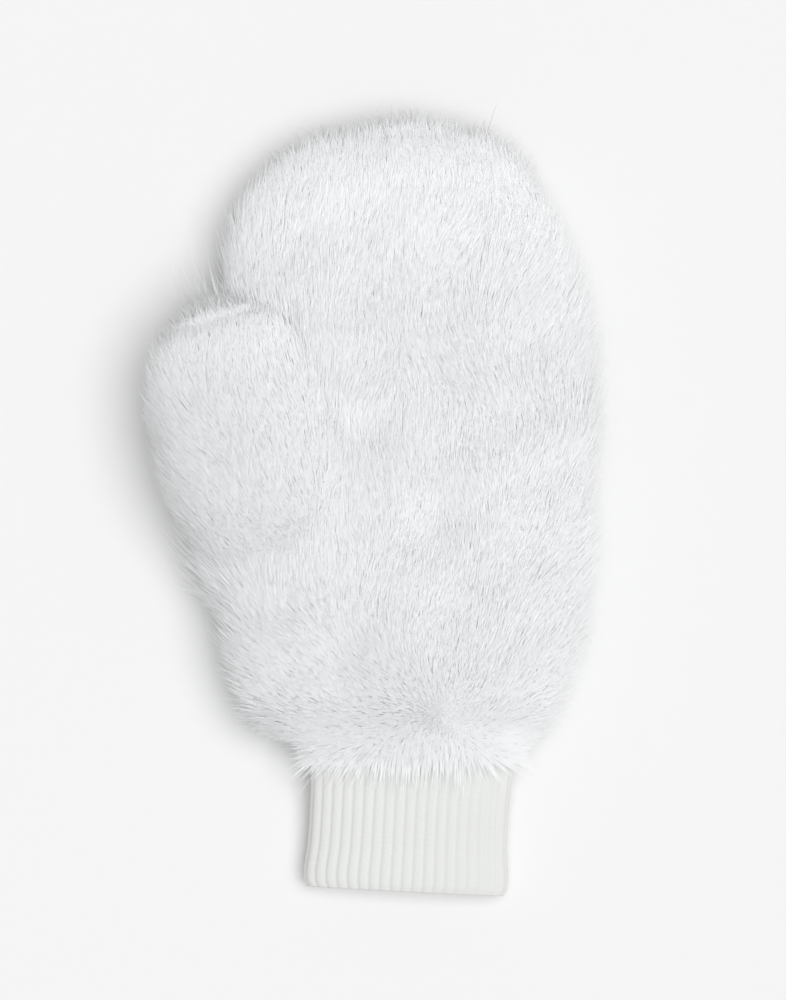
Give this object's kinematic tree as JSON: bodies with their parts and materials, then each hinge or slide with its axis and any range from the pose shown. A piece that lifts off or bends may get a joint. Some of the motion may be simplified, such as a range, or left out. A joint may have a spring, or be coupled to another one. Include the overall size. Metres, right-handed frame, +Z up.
{
  "type": "fur mitten",
  "caption": "Fur mitten with a fur thumb over the palm and a ribbed knit cuff, lying flat.",
  "frame": {"origin": "on the surface the mitten lies on, under the centre of its bounding box", "axes": "+Y from the cuff towards the fingertips, +Z up from the surface it lies on, thumb towards -X"},
  "size_m": [0.1724, 0.2882, 0.0595],
  "materials": {
    "white_fur": "matte",
    "white_knit": "matte"
  },
  "bodies": {
    "root": {"hand_shell": "white_fur", "thumb_shell": "white_fur", "rib_cuff": "white_knit"}
  },
  "joints": []
}
